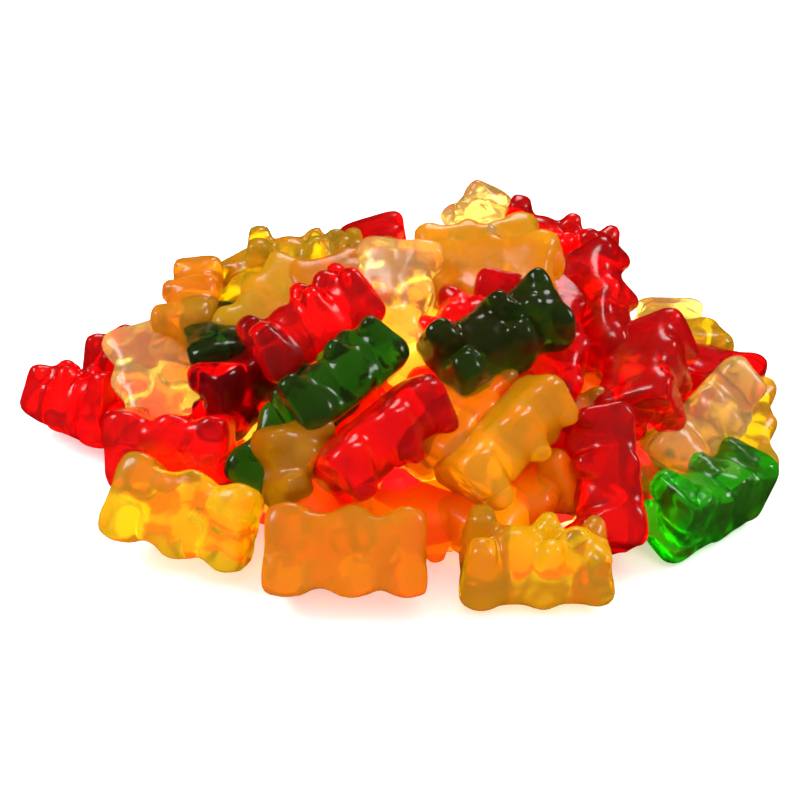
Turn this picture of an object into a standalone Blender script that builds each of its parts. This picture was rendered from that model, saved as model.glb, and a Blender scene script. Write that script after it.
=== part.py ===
"""A loose heap of gummy bears, as one solid out to its uneven outline.

Frame: +Z up, the origin on the flat underside below the middle of the heap. The bears are
moulded sweets with a flat back and a relief of ears, snout, paws, belly and feet on the front.
"""
import math

import bmesh
import bpy
from mathutils import Matrix, Vector

MM = 0.001

# One bear, in millimetres: it lies on its flat back, head towards +X, relief towards +Z.
TRUNK = (21.4, 10.4, 6.8)        # length, width and depth of the slab between the limbs
FOOT, ARM, EAR = (6.6, 5.8), (5.8, 5.4), (5.6, 5.2)  # length and width of each limb's base
BEAR_MIDDLE = (-0.2, 0.0, 5.1)   # middle of the bear's box, the point that each place names

# The heap, in millimetres.
HEAP_X, HEAP_Y = 1.0, 4.0        # middle of the rings of bears
MOUND = [(4, 52, 42, 12), (6, 44, 38, 21), (10, 31, 28, 28)]  # place along Y and half axes of
                                 # each layer of the solid middle
SINK = 0.4                       # how far the lowest bears are flattened on the table
FLAT = 0.25                      # what lies lower than this belongs to the flat underside
VOXEL = 0.75                     # grain of the joined surface
TRIANGLES = 9300                 # size of the finished solid

# The bears on the front, the sides and the top of the heap: the place of the bear's middle
# (mm), the heading, rise and roll of its long axis (degrees), and its stretch where it has one.
BEARS = [
    # front row, on the table
    ((-31, -27, 8.3), (-22, -6, -122), (1.06, 1.06, 1)),
    ((-7.5, -37, 7.6), (-2, 0, -128), (1.06, 1.04, 1)),
    ((19, -37, 7.2), (0, 0, 15), (1.0, 1, 1.1)),
    ((45.8, -20, 6.4), (42, 0, -70), (1.02, 1.05, 1.1)),
    # leaning on the front slope
    ((29, -25, 13), (98, 52, -85)),
    ((16, -24, 18.3), (38, 28, 150)),
    ((-2, -25, 19), (40, 22, 148)),
    ((15, -10, 30), (28, 18, 40), (1.05, 1.05, 1.05)),
    ((-9.3, -15.5, 25), (38, 22, -42), (0.95, 1, 1)),
    ((-16, -17, 15), (50, 35, -150)),
    ((-28.2, 2, 22), (100, 0, 180)),
    ((-23, -7, 21), (52, 5, -90)),
    ((-14, -5, 30), (28, 20, -12), (1, 1.05, 1.05)),
    ((-33.8, -17, 14), (-15, 5, -100), (0.94, 1, 1)),
    ((-13, -27.5, 12.3), (115, 60, 0)),
    ((-5, -14, 17), (60, 20, -20)),
    ((17, -25, 8), (40, 15, 185)),
    ((25, -16, 14), (60, 20, -20)),
    ((3, -26, 6), (20, 0, 180)),
    ((22, -10, 19), (75, 30, 180)),
    ((9, -16, 18), (60, 20, 180)),
    ((6.5, -4, 24.5), (50, 35, 0)),
    ((16.3, -1, 24.5), (80, 55, 90)),
    # left side
    ((-38.7, 0, 16), (110, 30, 165), (1.05, 1.1, 1)),
    ((-35, 12, 24.5), (92, 8, -85)),
    ((-54, 13, 8.4), (140, 0, 15), (1, 1, 1.2)),
    ((-45.5, 22, 10.5), (140, 0, 0), (1, 1, 1.2)),
    # right side
    ((38.8, -6, 20.5), (75, 20, 150), (0.92, 1.1, 1.15)),
    ((32, 1, 14.5), (60, 20, 180)),
    ((25, 8, 24.5), (75, 15, 180)),
    ((47.5, 25, 13.8), (80, 0, 180)),
    ((45.3, 17, 14.6), (10, 0, 180)),
    ((49.5, 9, 13.5), (-20, -5, 180)),
    ((47.8, -8, 12.5), (42, 25, 128), (1.06, 1.06, 1.06)),
    ((54, -3, 7.4), (80, 22, 180)),
    ((42, -9, 6.3), (20, 5, 180)),
    # top
    ((-21, 9, 25), (62, 18, 200)),
    ((-26, 17, 22.5), (90, 20, -110)),
    ((-16, 23, 30), (5, 5, 0)),
    ((-8, 15, 27.5), (25, 8, 200)),
    ((-4.2, 28, 28.2), (90, 0, 163)),
    ((-0.7, 4, 28.8), (72, 45, 172), (0.95, 1.2, 1)),
    ((15.5, 8, 32), (155, -10, 140)),
    ((13.5, 18, 31.5), (190, -4, 150)),
    ((14, 27, 32.8), (100, 15, -50)),
    ((26.8, 24, 32.2), (-12, -12, 20)),
    ((32.8, 9, 25.4), (95, 40, 130), (1.05, 1.12, 1.08)),
    # inside
    ((-30, -8, 6), (30, 0, 180)),
    ((31, -10, 6), (-40, 0, 180)),
    ((-40, 10, 6), (60, 0, 180)),
]

# The far slope is three rings of bears, by turns across the slope and down it: how many, the
# first and last angle (degrees), the radii along X and Y, the height and the slope (degrees).
RINGS = [
    (8, 22, 152, 50, 46, 5.4, 0),
    (5, 32, 140, 36, 32, 14.5, 25),
    (3, 55, 130, 25, 28, 23.5, 20),
]


def clear_scene():
    for obj in list(bpy.data.objects):
        bpy.data.objects.remove(obj, do_unlink=True)


def material(name, color, roughness):
    mat = bpy.data.materials.new(name)
    mat.use_nodes = True
    bsdf = mat.node_tree.nodes["Principled BSDF"]
    bsdf.inputs["Base Color"].default_value = (*color, 1.0)
    bsdf.inputs["Roughness"].default_value = roughness
    bsdf.inputs["Metallic"].default_value = 0.0
    return mat


def pose(place, turn, stretch=(1, 1, 1)):
    """Matrix of a bear: heading about Z, rise about Y, roll about its own long axis."""
    heading, rise, roll = (math.radians(a) for a in turn)
    spin = (Matrix.Rotation(heading, 4, "Z") @ Matrix.Rotation(-rise, 4, "Y")
            @ Matrix.Rotation(roll, 4, "X"))
    middle = Matrix.Translation(-Vector(BEAR_MIDDLE) * MM)
    return Matrix.Translation(Vector(place) * MM) @ spin @ Matrix.Diagonal((*stretch, 1)) @ middle


def ball(bm, centre, radii):
    made = bmesh.ops.create_uvsphere(bm, u_segments=16, v_segments=10, radius=1.0)
    size = Matrix.Diagonal((radii[0] * MM, radii[1] * MM, radii[2] * MM, 1))
    bmesh.ops.transform(bm, matrix=Matrix.Translation(Vector(centre) * MM) @ size,
                        verts=made["verts"])


def limb(bm, x, y, base, top, height, lean_x, lean_y):
    """A block that tapers and leans towards a blunt ridge, on a rounded rim."""
    foot = 1.5
    made = bmesh.ops.create_cube(bm, size=1.0)
    size = Matrix.Diagonal((base[0] * MM, base[1] * MM, (height - foot) * MM, 1))
    middle = Vector((x, y, (height + foot) / 2)) * MM
    bmesh.ops.transform(bm, matrix=Matrix.Translation(middle) @ size, verts=made["verts"])
    for v in made["verts"]:
        if v.co.z > middle.z:
            v.co.x = middle.x + (v.co.x - middle.x) * top[0] / base[0] + lean_x * MM
            v.co.y = middle.y + (v.co.y - middle.y) * top[1] / base[1] + lean_y * MM
    edges = list({e for v in made["verts"] for e in v.link_edges})
    bmesh.ops.bevel(bm, geom=edges, offset=0.8 * MM, segments=2, affect="EDGES", profile=0.5)
    ball(bm, (x, y, foot + 0.1), (base[0] / 2, base[1] / 2 + 0.4, foot + 0.1))


def bear_shape(bm):
    """The parts of one bear, overlapping; the voxel remesh joins them."""
    made = bmesh.ops.create_cube(bm, size=1.0)
    size = Matrix.Diagonal((TRUNK[0] * MM, TRUNK[1] * MM, TRUNK[2] * MM, 1))
    bmesh.ops.transform(bm, matrix=Matrix.Translation(Vector((-0.3, 0, TRUNK[2] / 2)) * MM) @ size,
                        verts=made["verts"])
    for v in made["verts"]:
        if v.co.z > TRUNK[2] / 2 * MM:
            v.co.x -= math.copysign(1.0 * MM, v.co.x)
            v.co.y -= math.copysign(0.7 * MM, v.co.y)
    edges = list({e for v in made["verts"] for e in v.link_edges})
    bmesh.ops.bevel(bm, geom=edges, offset=1.7 * MM, segments=3, affect="EDGES", profile=0.5)
    for side in (-1, 1):
        limb(bm, -7.8, side * 3.3, FOOT, (3.4, 4.2), 10.0, -0.3, -side * 0.3)
        limb(bm, 0.7, side * 3.4, ARM, (2.6, 3.6), 9.7, 0.8, -side * 0.8)
        limb(bm, 7.9, side * 3.4, EAR, (2.6, 3.6), 8.8, 0.4, -side * 0.2)
    ball(bm, (-3.2, 0, 5.0), (4.8, 4.6, 4.2))
    ball(bm, (6.2, 0, 5.0), (4.3, 4.2, 3.9))
    ball(bm, (5.0, 0, 7.3), (2.3, 2.2, 3.0))


def ring_poses():
    for count, first, last, rx, ry, height, slope in RINGS:
        for i in range(count):
            angle = first + (last - first) * i / (count - 1)
            x = HEAP_X + rx * math.cos(math.radians(angle))
            y = HEAP_Y + ry * math.sin(math.radians(angle))
            if i % 2:
                turn = (angle + 12 * (i % 3) - 8, -slope, 180 if i % 4 == 1 else 10)
            else:
                turn = (angle + 84 + 9 * (i % 3), 0, slope if i % 4 else 180 + slope)
            yield (x, y, height), turn


def apply_modifiers(obj):
    bpy.ops.object.select_all(action="DESELECT")
    obj.select_set(True)
    bpy.context.view_layer.objects.active = obj
    for mod in list(obj.modifiers):
        bpy.ops.object.modifier_apply(modifier=mod.name)


def largest_piece(bm):
    """Keeps the one connected surface with the most room; shells sealed inside go."""
    bm.verts.ensure_lookup_table()
    left, pieces = set(bm.verts), []
    while left:
        seed = left.pop()
        piece, edge = {seed}, [seed]
        while edge:
            v = edge.pop()
            for e in v.link_edges:
                w = e.other_vert(v)
                if w in left:
                    left.discard(w)
                    piece.add(w)
                    edge.append(w)
        pieces.append(piece)
    keep = max(pieces, key=len)
    bmesh.ops.delete(bm, geom=[v for v in bm.verts if v not in keep], context="VERTS")


def gummy_heap(collection):
    bm = bmesh.new()
    bear_shape(bm)
    template = bpy.data.meshes.new("bear_template")
    bm.to_mesh(template)
    bm.free()

    bm = bmesh.new()
    for args in BEARS + list(ring_poses()):
        start = len(bm.verts)
        bm.from_mesh(template)
        bm.verts.ensure_lookup_table()
        bear = bm.verts[start:]
        bmesh.ops.transform(bm, matrix=pose(*args), verts=bear)
        lowest = min(v.co.z for v in bear)
        if lowest < 0:
            bmesh.ops.translate(bm, vec=(0, 0, -lowest), verts=bear)
    for y, *radii in MOUND:
        ball(bm, (HEAP_X, y, 0), radii)
    mesh = bpy.data.meshes.new("gummy_heap")
    bm.to_mesh(mesh)
    bm.free()
    heap = bpy.data.objects.new("gummy_heap", mesh)
    collection.objects.link(heap)

    remesh = heap.modifiers.new("join", "REMESH")
    remesh.mode = "VOXEL"
    remesh.voxel_size = VOXEL * MM
    smooth = heap.modifiers.new("soften", "SMOOTH")
    smooth.factor = 0.5
    smooth.iterations = 2
    apply_modifiers(heap)

    # the flat underside
    bm = bmesh.new()
    bm.from_mesh(heap.data)
    bmesh.ops.bisect_plane(bm, geom=bm.verts[:] + bm.edges[:] + bm.faces[:], dist=1e-7,
                           plane_co=(0, 0, SINK * MM), plane_no=(0, 0, 1), clear_inner=True)
    largest_piece(bm)
    rim = [e for e in bm.edges if e.is_boundary]
    bmesh.ops.triangle_fill(bm, edges=rim, use_beauty=True, use_dissolve=False,
                            normal=(0, 0, -1))
    bmesh.ops.recalc_face_normals(bm, faces=bm.faces)
    bmesh.ops.translate(bm, vec=(0, 0, -SINK * MM), verts=bm.verts)
    bm.to_mesh(heap.data)
    triangles = sum(len(f.verts) - 2 for f in bm.faces)
    bm.free()

    lighten = heap.modifiers.new("lighten", "DECIMATE")
    lighten.ratio = TRIANGLES / triangles
    apply_modifiers(heap)
    for v in heap.data.vertices:
        if v.co.z < FLAT * MM:
            v.co.z = 0.0
    bpy.data.meshes.remove(template)
    return heap


clear_scene()
parts = bpy.data.collections.new("gummy_bears")
bpy.context.scene.collection.children.link(parts)
heap = gummy_heap(parts)
heap.data.materials.append(material("gummy", (0.80, 0.12, 0.02), 0.3))
heap.data.shade_smooth()
heap.data.set_sharp_from_angle(angle=math.radians(40))
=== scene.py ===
"""A loose heap of gummy bears on a white table, dressed for the render.

Frame: +Z up, the origin on the table below the middle of the heap, the camera on the -Y side.
"""

import math
import random

import bpy
from mathutils import Matrix, Vector


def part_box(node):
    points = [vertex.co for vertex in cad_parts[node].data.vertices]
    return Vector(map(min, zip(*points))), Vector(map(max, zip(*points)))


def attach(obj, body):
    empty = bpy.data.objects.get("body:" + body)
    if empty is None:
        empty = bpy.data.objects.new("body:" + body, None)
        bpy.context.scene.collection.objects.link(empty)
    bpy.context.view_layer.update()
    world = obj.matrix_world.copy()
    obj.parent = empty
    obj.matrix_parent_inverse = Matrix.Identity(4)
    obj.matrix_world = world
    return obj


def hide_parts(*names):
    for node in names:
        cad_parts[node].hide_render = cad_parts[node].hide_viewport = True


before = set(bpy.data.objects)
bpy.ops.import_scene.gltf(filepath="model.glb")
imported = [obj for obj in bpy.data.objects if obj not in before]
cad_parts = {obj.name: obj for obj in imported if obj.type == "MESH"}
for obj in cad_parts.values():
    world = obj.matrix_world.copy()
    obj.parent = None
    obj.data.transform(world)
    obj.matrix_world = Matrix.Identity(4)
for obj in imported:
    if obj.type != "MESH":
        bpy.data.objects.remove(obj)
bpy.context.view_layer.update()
table_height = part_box("gummy_heap")[0][2]
bpy.ops.object.select_all(action="DESELECT")

MM = 0.001


# ---------------------------------------------------------------- one bear
# A gummy bear is hot gelatine, sugar and syrup, poured into a starch mould and left to set.
# The open side becomes the flat back. The mould gives the front its two ears, snout, paws,
# round belly and feet, all soft-edged. It lies on its back here, with its head towards +X.

BEAR_MIDDLE = Vector((-0.2, 0.0, 5.1)) * MM    # middle of the finished bear's box
LIMBS = [    # place, base and tip (length and width), height, and how far the tip leans (mm)
    ((-7.8, 3.3), (6.6, 5.8), (3.4, 4.2), 10.2, (-0.3, -0.3)),    # foot
    ((0.7, 3.4), (5.8, 5.4), (2.6, 3.6), 9.9, (0.8, -0.8)),       # paw
    ((7.9, 3.4), (5.6, 5.2), (2.6, 3.6), 9.0, (0.4, -0.2)),       # ear
]
LUMPS = [    # middle and half axes (mm)
    ((-3.2, 0, 5.0), (4.8, 4.6, 4.2)),    # belly
    ((6.2, 0, 5.0), (4.3, 4.2, 3.9)),     # head
    ((5.0, 0, 7.3), (2.3, 2.2, 3.0)),     # snout
]


def raised_faces(obj):
    """Enters edit mode with the top face selected and nothing else."""
    bpy.ops.object.mode_set(mode="EDIT")
    bpy.ops.mesh.select_mode(type="FACE")
    bpy.ops.mesh.select_all(action="DESELECT")
    bpy.ops.object.mode_set(mode="OBJECT")
    for face in obj.data.polygons:
        face.select = face.normal.z > 0.9
    bpy.ops.object.mode_set(mode="EDIT")


def tapered_block(middle, size, tip, lean, rounding, steps):
    """A block with its top drawn in to the tip's size, moved by the lean, and rounded."""
    bpy.ops.mesh.primitive_cube_add(size=1, location=Vector(middle) * MM)
    block = bpy.context.object
    block.scale = Vector(size) * MM
    bpy.ops.object.transform_apply(location=True, scale=True)
    raised_faces(block)
    bpy.ops.transform.resize(value=(tip[0] / size[0], tip[1] / size[1], 1))
    bpy.ops.transform.translate(value=(lean[0] * MM, lean[1] * MM, 0))
    bpy.ops.mesh.select_all(action="SELECT")
    bpy.ops.mesh.bevel(offset=rounding * MM, segments=steps, affect="EDGES")
    bpy.ops.object.mode_set(mode="OBJECT")
    return block


def ball(middle, radii):
    bpy.ops.mesh.primitive_uv_sphere_add(segments=32, ring_count=16, radius=1,
                                         location=Vector(middle) * MM)
    lump = bpy.context.object
    lump.scale = Vector(radii) * MM
    bpy.ops.object.transform_apply(location=True, scale=True)
    return lump


def limb(place, base, tip, height, lean, side):
    """A limb on one side: a leaning block that tapers to a blunt ridge, on a rounded rim."""
    rim = 1.5
    x, y = place[0], place[1] * side
    block = tapered_block((x, y, (height + rim) / 2), (*base, height - rim), tip,
                          (lean[0], lean[1] * side), 0.8, 3)
    return [block, ball((x, y, rim + 0.1), (base[0] / 2, base[1] / 2 + 0.4, rim + 0.1))]


def apply_modifiers(obj):
    bpy.ops.object.select_all(action="DESELECT")
    obj.select_set(True)
    bpy.context.view_layer.objects.active = obj
    for modifier in list(obj.modifiers):
        bpy.ops.object.modifier_apply(modifier=modifier.name)


def fuse(obj, grain, rounds):
    """Melts overlapping lumps into one skin, and smooths it."""
    skin = obj.modifiers.new("skin", "REMESH")
    skin.mode = "VOXEL"
    skin.voxel_size = grain * MM
    soften = obj.modifiers.new("soften", "SMOOTH")
    soften.factor = 0.5
    soften.iterations = rounds
    apply_modifiers(obj)
    bpy.ops.object.shade_smooth()


def join(pieces, name):
    bpy.ops.object.select_all(action="DESELECT")
    for piece in pieces:
        piece.select_set(True)
    bpy.context.view_layer.objects.active = pieces[0]
    bpy.ops.object.join()
    pieces[0].name = pieces[0].data.name = name
    return pieces[0]


trunk_length, trunk_width, trunk_depth = 21.4, 10.4, 6.8
parts = [tapered_block((-0.3, 0, trunk_depth / 2), (trunk_length, trunk_width, trunk_depth),
                       (trunk_length - 2.0, trunk_width - 1.4), (0, 0), 1.7, 4)]
for side in (-1, 1):
    for shape in LIMBS:
        parts += limb(*shape, side)
parts += [ball(middle, radii) for middle, radii in LUMPS]
mould = join(parts, "bear_mould")
fuse(mould, 0.4, 18)
fuse(mould, 0.6, 2)

bear_draws = random.Random(7)


def dent(bear, draws):
    """Presses a few shallow dents into the skin, where bears lay on one another in the bag."""
    vertices = bear.data.vertices
    dents = []
    for _ in range(5):
        at = vertices[draws.randrange(len(vertices))]
        dents.append((at.co.copy(), -at.normal, draws.uniform(1.6, 3.2) * MM,
                      draws.uniform(0.25, 0.6) * MM))
    for vertex in vertices:
        for middle, inwards, reach, depth in dents:
            near = 1 - (vertex.co - middle).length_squared / reach ** 2
            if near > 0:
                vertex.co += inwards * (depth * near * near)


def copied_bear(place, turn, stretch=(1, 1, 1)):
    """A copy, a little twisted, bent and dented, turned and put at its place."""
    bear = mould.copy()
    bear.data = mould.data.copy()
    bpy.context.collection.objects.link(bear)
    for method, axis, most in (("TWIST", "X", 7), ("BEND", "Z", 6), ("BEND", "Y", 8)):
        warp = bear.modifiers.new("warp", "SIMPLE_DEFORM")
        warp.deform_method = method
        warp.deform_axis = axis
        warp.angle = math.radians(bear_draws.uniform(-most, most))
    apply_modifiers(bear)
    dent(bear, bear_draws)
    heading, rise, roll = (math.radians(angle) for angle in turn)
    spin = (Matrix.Rotation(heading, 4, "Z") @ Matrix.Rotation(-rise, 4, "Y")
            @ Matrix.Rotation(roll, 4, "X"))
    bear.data.transform(Matrix.Translation(Vector(place) * MM) @ spin
                        @ Matrix.Diagonal((*stretch, 1)) @ Matrix.Translation(-BEAR_MIDDLE))
    sunk = table_height - min(vertex.co.z for vertex in bear.data.vertices)
    if sunk > 0:
        bear.data.transform(Matrix.Translation((0, 0, sunk)))
    return bear


# ---------------------------------------------------------------- red bears
# Strawberry and raspberry: a clear, strong red gel. Every gel is a clear body that takes up
# light on its way through, under a thin oiled skin with shallow waves, dents and uneven gloss.

def skin_effect():
    """Node group: lighter and deeper patches, uneven gloss, and the relief of the skin."""
    group = bpy.data.node_groups.new("gel_skin", "ShaderNodeTree")
    face = group.interface
    for name, value in (("Gloss", 0.2), ("Gloss Spread", 0.1), ("Relief", 1.0)):
        face.new_socket(name, in_out="INPUT", socket_type="NodeSocketFloat").default_value = value
    face.new_socket("Patches", in_out="OUTPUT", socket_type="NodeSocketFloat")
    face.new_socket("Roughness", in_out="OUTPUT", socket_type="NodeSocketFloat")
    face.new_socket("Normal", in_out="OUTPUT", socket_type="NodeSocketVector")
    nodes, links = group.nodes, group.links
    given = nodes.new("NodeGroupInput")
    result = nodes.new("NodeGroupOutput")
    place = nodes.new("ShaderNodeTexCoord").outputs["Object"]

    def noise(scale, detail):
        texture = nodes.new("ShaderNodeTexNoise")
        texture.inputs["Scale"].default_value = scale
        texture.inputs["Detail"].default_value = detail
        links.new(place, texture.inputs["Vector"])
        return texture

    patches = noise(70.0, 1.0)
    spread = nodes.new("ShaderNodeMapRange")
    spread.inputs["From Min"].default_value = 0.35
    spread.inputs["From Max"].default_value = 0.65
    links.new(patches.outputs["Fac"], spread.inputs["Value"])
    links.new(spread.outputs["Result"], result.inputs["Patches"])

    waves = noise(230.0, 1.5)
    waves.inputs["Distortion"].default_value = 0.6
    gloss = nodes.new("ShaderNodeMath")
    gloss.operation = "MULTIPLY_ADD"
    links.new(waves.outputs["Fac"], gloss.inputs[0])
    links.new(given.outputs["Gloss Spread"], gloss.inputs[1])
    links.new(given.outputs["Gloss"], gloss.inputs[2])
    links.new(gloss.outputs["Value"], result.inputs["Roughness"])
    relief = nodes.new("ShaderNodeBump")
    relief.inputs["Distance"].default_value = 0.35 * MM
    links.new(given.outputs["Relief"], relief.inputs["Strength"])
    links.new(waves.outputs["Fac"], relief.inputs["Height"])
    links.new(relief.outputs["Normal"], result.inputs["Normal"])
    return group


gel_skin = skin_effect()


def skinned(name, light, deep, gloss, relief):
    """A material whose base colour runs between two tones, with the skin's gloss and relief."""
    material = bpy.data.materials.new(name)
    material.use_nodes = True
    nodes, links = material.node_tree.nodes, material.node_tree.links
    surface = nodes["Principled BSDF"]
    skin = nodes.new("ShaderNodeGroup")
    skin.node_tree = gel_skin
    skin.inputs["Gloss"].default_value = gloss
    skin.inputs["Relief"].default_value = relief
    tone = nodes.new("ShaderNodeMix")
    tone.data_type = "RGBA"
    tone.inputs["A"].default_value = (*light, 1)
    tone.inputs["B"].default_value = (*deep, 1)
    links.new(skin.outputs["Patches"], tone.inputs["Factor"])
    links.new(tone.outputs["Result"], surface.inputs["Base Color"])
    links.new(skin.outputs["Roughness"], surface.inputs["Roughness"])
    links.new(skin.outputs["Normal"], surface.inputs["Normal"])
    surface.inputs["IOR"].default_value = 1.42
    surface.inputs["Specular IOR Level"].default_value = 0.35
    return material


def gel(name, light, deep, body_colour, density, clear, gloss, relief):
    """Set gel: the skin over a body that takes up light on its way through."""
    material = skinned(name, light, deep, gloss, relief)
    nodes, links = material.node_tree.nodes, material.node_tree.links
    nodes["Principled BSDF"].inputs["Transmission Weight"].default_value = clear
    body = nodes.new("ShaderNodeVolumeAbsorption")
    body.inputs["Color"].default_value = (*body_colour, 1)
    body.inputs["Density"].default_value = density
    links.new(body.outputs["Volume"], nodes["Material Output"].inputs["Volume"])
    return material


# The far slope is three rings of bears, by turns across the slope and down it: the first and
# last angle (degrees), radii along X and Y, height, slope (degrees), and colours in order.
FAR_RINGS = [
    (22, 152, 50, 46, 5.4, 0, "red yellow green orange red pale yellow orange"),
    (32, 140, 36, 32, 14.5, 25, "orange red yellow green orange"),
    (55, 130, 25, 28, 23.5, 20, "yellow red yellow"),
]
HEAP_X, HEAP_Y = 1.0, 4.0    # middle of the rings (mm)


def far_slope(colour):
    """The places and turns of the bears of one colour on the far slope."""
    bears = []
    for first, last, across, deep, height, slope, colours in FAR_RINGS:
        colours = colours.split()
        for i, kind in enumerate(colours):
            angle = first + (last - first) * i / (len(colours) - 1)
            place = (HEAP_X + across * math.cos(math.radians(angle)),
                     HEAP_Y + deep * math.sin(math.radians(angle)), height)
            if i % 2:
                turn = (angle + 12 * (i % 3) - 8, -slope, 180 if i % 4 == 1 else 10)
            else:
                turn = (angle + 84 + 9 * (i % 3), 0, slope if i % 4 else 180 + slope)
            if kind == colour:
                bears.append((place, turn))
    return bears


def dress(piece, material):
    """Gives a piece its material and its place in the frame."""
    piece.data.materials.clear()
    piece.data.materials.append(material)
    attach(piece, "root")
    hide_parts("gummy_heap")


def batch(name, bears, material):
    dress(join([copied_bear(*bear) for bear in bears], name), material)


RED = [    # middle (mm), heading, rise and roll (degrees), and stretch where it has one
    ((29, -25, 13), (98, 52, -85)),
    ((-2, -25, 19), (40, 22, 148)),
    ((-14, -5, 30), (28, 20, -12), (1, 1.05, 1.05)),
    ((-4.2, 28, 28.2), (90, 0, 163)),
    ((26.8, 24, 32.2), (-12, -12, 20)),
    ((32.8, 9, 25.4), (95, 40, 130), (1.05, 1.12, 1.08)),
    ((16.3, -1, 24.5), (80, 55, 90)),
    ((6.5, -4, 24.5), (50, 35, 0)),
    ((38.8, -6, 20.5), (75, 20, 150), (0.92, 1.1, 1.15)),
    ((49.5, 9, 13.5), (-20, -5, 180)),
    ((-54, 13, 8.4), (140, 0, 15), (1, 1, 1.2)),
    ((-45.5, 22, 10.5), (140, 0, 0), (1, 1, 1.2)),
    ((-33.8, -17, 14), (-15, 5, -100), (0.94, 1, 1)),
    ((-5, -14, 17), (60, 20, -20)),
    ((22, -10, 19), (75, 30, 180)),
    ((25, 8, 24.5), (75, 15, 180)),
    ((-30, -8, 6), (30, 0, 180)),
    ((-40, 10, 6), (60, 0, 180)),
]
batch("red_bears", RED + far_slope("red"),
      gel("red_gel", (1.0, 0.012, 0.006), (0.9, 0.0, 0.004), (0.953, 0.0, 0.08), 420,
          clear=0.88, gloss=0.14, relief=0.7))


# ---------------------------------------------------------------- deep red bear
# Blackcurrant or cherry: one bear at the left of a red so deep that it is nearly black where
# it is thick, with a glossier skin than the rest.

MAROON = [
    ((-23, -7, 21), (52, 5, -90)),
]
batch("maroon_bears", MAROON,
      gel("maroon_gel", (0.97, 0.004, 0.01), (0.85, 0.0, 0.008), (0.982, 0.0, 0.15), 400,
          clear=0.95, gloss=0.12, relief=0.7))


# ---------------------------------------------------------------- orange bears
# Orange flavour: a warm gel that is a little cloudy, so that it glows where light comes
# through, and hides what lies behind it better than the red does.

ORANGE = [
    ((-7.5, -37, 7.6), (-2, 0, -128), (1.06, 1.04, 1)),
    ((-35, 12, 24.5), (92, 8, -85)),
    ((-8, 15, 27.5), (25, 8, 200)),
    ((-13, -27.5, 12.3), (115, 60, 0)),
    ((17, -25, 8), (40, 15, 185)),
    ((25, -16, 14), (60, 20, -20)),
    ((3, -26, 6), (20, 0, 180)),
    ((9, -16, 18), (60, 20, 180)),
    ((32, 1, 14.5), (60, 20, 180)),
]
batch("orange_bears", ORANGE + far_slope("orange"),
      gel("orange_gel", (0.88, 0.36, 0.003), (0.8, 0.26, 0.002), (0.984, 0.908, 0.0), 500,
          clear=0.72, gloss=0.17, relief=0.6))


# ---------------------------------------------------------------- golden bears
# Peach or apple: between the orange and the lemon, cloudy like the orange, and the colour of
# most bears round the top of the heap.

GOLD = [
    ((16, -24, 18.3), (38, 28, 150)),
    ((-21, 9, 25), (62, 18, 200)),
    ((15.5, 8, 32), (155, -10, 140)),
    ((13.5, 18, 31.5), (190, -4, 150)),
]
batch("gold_bears", GOLD,
      gel("gold_gel", (0.96, 0.48, 0.004), (0.9, 0.37, 0.003), (0.986, 0.946, 0.0), 420,
          clear=0.7, gloss=0.16, relief=0.7))


# ---------------------------------------------------------------- yellow bears
# Lemon: a clear bright yellow that takes the colour of whatever lies behind it. Two of the
# bears on the front row are of this kind, one on its back edge and one on its side.

YELLOW = [
    ((-31, -27, 8.3), (-22, -6, -122), (1.06, 1.06, 1)),
    ((19, -37, 7.2), (0, 0, 15), (1.0, 1, 1.1)),
    ((-26, 17, 22.5), (90, 20, -110)),
    ((-16, 23, 30), (5, 5, 0)),
    ((45.3, 17, 14.6), (10, 0, 180)),
    ((54, -3, 7.4), (80, 22, 180)),
    ((42, -9, 6.3), (20, 5, 180)),
]
batch("yellow_bears", YELLOW + far_slope("yellow"),
      gel("yellow_gel", (0.96, 0.72, 0.012), (0.9, 0.56, 0.01), (0.98, 0.95, 0.0), 400,
          clear=0.85, gloss=0.15, relief=0.8))


# ---------------------------------------------------------------- clear bears
# Pineapple: nearly no colour, so these bears are pale cream against the light and take on a
# blush from the red and orange ones beneath.

PALE = [
    ((-38.7, 0, 16), (110, 30, 165), (1.05, 1.1, 1)),
    ((-0.7, 4, 28.8), (72, 45, 172), (0.95, 1.2, 1)),
    ((14, 27, 32.8), (100, 15, -50)),
    ((47.5, 25, 13.8), (80, 0, 180)),
    ((47.8, -8, 12.5), (42, 25, 128), (1.06, 1.06, 1.06)),
]
batch("pale_bears", PALE + far_slope("pale"),
      gel("pale_gel", (1.0, 0.86, 0.42), (1.0, 0.78, 0.25), (0.985, 0.9, 0.2), 115,
          clear=0.9, gloss=0.15, relief=0.8))


# ---------------------------------------------------------------- green bears
# Apple or woodruff: a strong green that lets hardly any red through, bright at thin edges and
# dark over the red bears.

GREEN = [
    ((45.8, -20, 6.4), (42, 0, -70), (1.02, 1.05, 1.1)),
    ((31, -10, 6), (-40, 0, 180)),
]
batch("green_bears", GREEN + far_slope("green"),
      gel("green_gel", (0.5, 0.9, 0.14), (0.36, 0.78, 0.09), (0.58, 0.935, 0.38), 720,
          clear=0.98, gloss=0.12, relief=1.0))


# ---------------------------------------------------------------- dark green bears
# A deeper green: olive black where it is thick or lies over red, and bright green only along
# its thin rims. The large one in the middle lies with its face up.

DARK = [
    ((15, -10, 30), (28, 18, 40), (1.05, 1.05, 1.05)),
    ((-9.3, -15.5, 25), (38, 22, -42), (0.95, 1, 1)),
    ((-16, -17, 15), (50, 35, -150)),
    ((-28.2, 2, 22), (100, 0, 180)),
]
batch("dark_bears", DARK,
      gel("dark_gel", (0.45, 0.64, 0.1), (0.35, 0.46, 0.07), (0.6, 0.88, 0.25), 1200,
          clear=0.98, gloss=0.12, relief=1.0))


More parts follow.
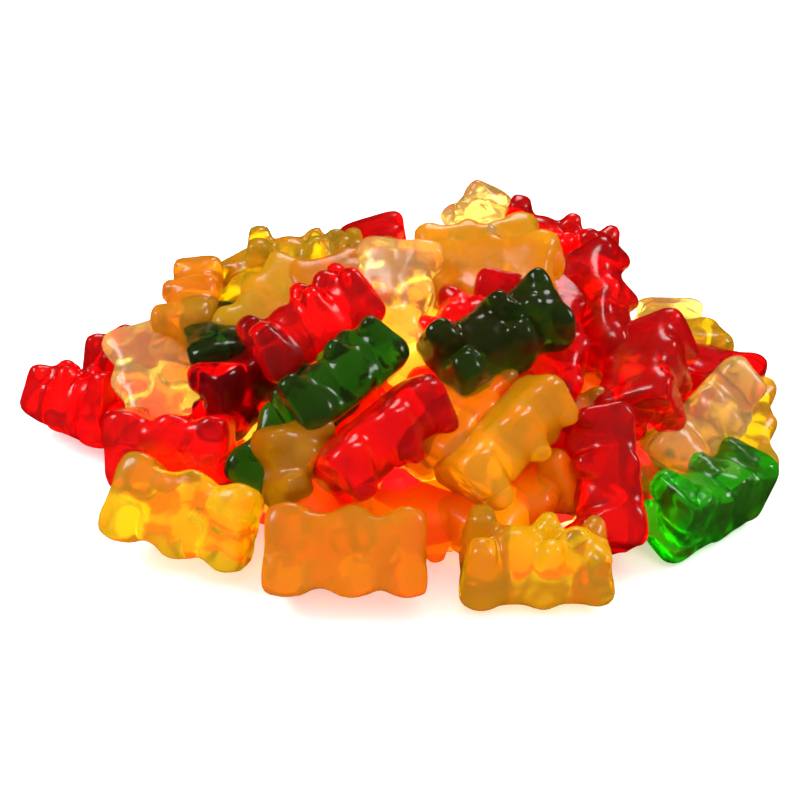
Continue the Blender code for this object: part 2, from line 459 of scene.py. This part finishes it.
# ---------------------------------------------------------------- inside the heap
# The bears that lie too deep to be seen clearly stand as one mass: copies of the same bear
# pressed together round a low mound, in the colours that shine through the bears above. The
# mass also gives off a painted glow in those colours, which stands in for the light that
# passes through the bears around it.

heart_draws = random.Random(3)
lumps = []
bpy.ops.mesh.primitive_uv_sphere_add(segments=48, ring_count=24, radius=1,
                                     location=Vector((HEAP_X, HEAP_Y, 2)) * MM)
mound = bpy.context.object
mound.scale = Vector((36, 26, 17)) * MM
bpy.ops.object.transform_apply(location=True, scale=True)
for count, across, deep, height in ((9, 36, 26, 6), (6, 22, 15, 14), (3, 10, 7, 21)):
    for i in range(count):
        angle = math.tau * i / count
        place = (HEAP_X + across * math.cos(angle), HEAP_Y + deep * math.sin(angle), height)
        turn = (math.degrees(angle) + heart_draws.uniform(30, 120),
                heart_draws.uniform(-12, 12), heart_draws.choice((0, 180, 90)))
        lumps.append(copied_bear(place, turn))
heart = join([mound] + lumps, "heart_of_the_heap")
fuse(heart, 0.9, 3)
bpy.ops.object.mode_set(mode="EDIT")
bpy.ops.mesh.select_all(action="SELECT")
bpy.ops.mesh.bisect(plane_co=(0, 0, table_height + 0.3 * MM), plane_no=(0, 0, 1),
                    use_fill=True, clear_inner=True)
bpy.ops.object.mode_set(mode="OBJECT")
bpy.ops.object.shade_smooth()


def colours_with_painted_glow():
    """Cells of the gels' colours, golden towards the top where the gold bears lie, with a painted
    glow: the same colours are emitted to stand in for light let through the heap.
    """
    material = skinned("heart_gel_painted_glow", (0.8, 0.3, 0.02), (0.6, 0.02, 0.01), 0.3, 1.0)
    nodes, links = material.node_tree.nodes, material.node_tree.links
    place = nodes.new("ShaderNodeTexCoord").outputs["Object"]
    cells = nodes.new("ShaderNodeTexVoronoi")
    cells.inputs["Scale"].default_value = 85.0
    links.new(place, cells.inputs["Vector"])
    split = nodes.new("ShaderNodeSeparateColor")
    links.new(cells.outputs["Color"], split.inputs["Color"])
    kinds = nodes.new("ShaderNodeValToRGB")
    kinds.color_ramp.interpolation = "CONSTANT"
    steps = ((0.0, (0.75, 0.01, 0.01)), (0.35, (0.9, 0.25, 0.01)), (0.6, (0.9, 0.55, 0.02)),
             (0.8, (0.85, 0.02, 0.01)), (0.92, (0.08, 0.35, 0.02)))
    stops = kinds.color_ramp.elements
    for i, (start, colour) in enumerate(steps):
        stop = stops[i] if i < 2 else stops.new(start)
        stop.position = start
        stop.color = (*colour, 1)
    links.new(split.outputs["Red"], kinds.inputs["Fac"])
    height = nodes.new("ShaderNodeSeparateXYZ")
    links.new(place, height.inputs["Vector"])
    upper = nodes.new("ShaderNodeMapRange")
    upper.inputs["From Min"].default_value = 15 * MM
    upper.inputs["From Max"].default_value = 23 * MM
    upper.inputs["To Max"].default_value = 0.8
    links.new(height.outputs["Z"], upper.inputs["Value"])
    crown_tone_and_glow = nodes.new("ShaderNodeMix")
    crown_tone_and_glow.data_type = "RGBA"
    crown_tone_and_glow.inputs["B"].default_value = (1.0, 0.55, 0.02, 1)
    links.new(upper.outputs["Result"], crown_tone_and_glow.inputs["Factor"])
    links.new(kinds.outputs["Color"], crown_tone_and_glow.inputs["A"])
    surface = nodes["Principled BSDF"]
    links.new(crown_tone_and_glow.outputs["Result"], surface.inputs["Base Color"])
    # Painted glow: the cell colours are also emitted, standing in for light scattered through the
    # heap, and the golden top glows brightest.
    links.new(crown_tone_and_glow.outputs["Result"], surface.inputs["Emission Color"])
    surface.inputs["Emission Strength"].default_value = 1.0
    return material


dress(heart, colours_with_painted_glow())
bpy.data.objects.remove(mould, do_unlink=True)


# ---------------------------------------------------------------- table
# A matt white sheet under the heap, lit from below as a light table is, so that the gels
# throw only a faint coloured shadow on it.

bpy.ops.mesh.primitive_plane_add(size=6, location=(0, 0, table_height))
table = bpy.context.object
bpy.ops.object.transform_apply(location=True)
table.name = "table"
sheet = bpy.data.materials.new("white_sheet")
sheet.use_nodes = True
paper = sheet.node_tree.nodes["Principled BSDF"]
paper.inputs["Base Color"].default_value = (0.9, 0.9, 0.9, 1)
paper.inputs["Roughness"].default_value = 0.6
paper.inputs["Emission Color"].default_value = (1, 1, 1, 1)
paper.inputs["Emission Strength"].default_value = 0.35
table.data.materials.append(sheet)
table.visible_glossy = False


# ---------------------------------------------------------------- light
# A white tent all round the table, with three square softboxes whose reflections run along
# the ridges of the bears: one on each side and a weaker one behind.

tent = bpy.data.worlds.new("tent")
tent.use_nodes = True
tent.node_tree.nodes["Background"].inputs["Color"].default_value = (1, 1, 1, 1)
tent.node_tree.nodes["Background"].inputs["Strength"].default_value = 1.55
tent.cycles_visibility.glossy = False
tent.cycles.sampling_method = "NONE"
bpy.context.scene.world = tent


def softbox(name, place, size, power):
    bpy.ops.object.light_add(type="AREA", location=place)
    lamp = bpy.context.object
    lamp.name = name
    lamp.data.shape = "SQUARE"
    lamp.data.size = size
    lamp.data.energy = power
    lamp.rotation_euler = (Vector((0, 0, 0.01)) - lamp.location).to_track_quat("-Z", "Y").to_euler()


softbox("softbox_left", (-1.2, -0.1, 1.2), 0.6, 13)
softbox("softbox_right", (1.2, 0.1, 1.1), 0.55, 10)
softbox("softbox_back", (0.1, 1.1, 1.3), 0.6, 7)

bpy.context.scene.cycles.use_light_tree = False
bpy.context.scene.cycles.max_bounces = 9
bpy.context.scene.cycles.transmission_bounces = 9


# ---------------------------------------------------------------- camera
# A short telephoto lens at about 25 degrees above the table, level with the front row.

bpy.ops.object.camera_add(location=(0, -0.2084, 0.1112), rotation=(math.radians(65), 0, 0))
camera = bpy.context.object
camera.data.lens = 64.2
camera.data.sensor_width = 36
camera.data.clip_start = 0.01
bpy.context.scene.camera = camera
bpy.context.scene.view_settings.view_transform = "Standard"
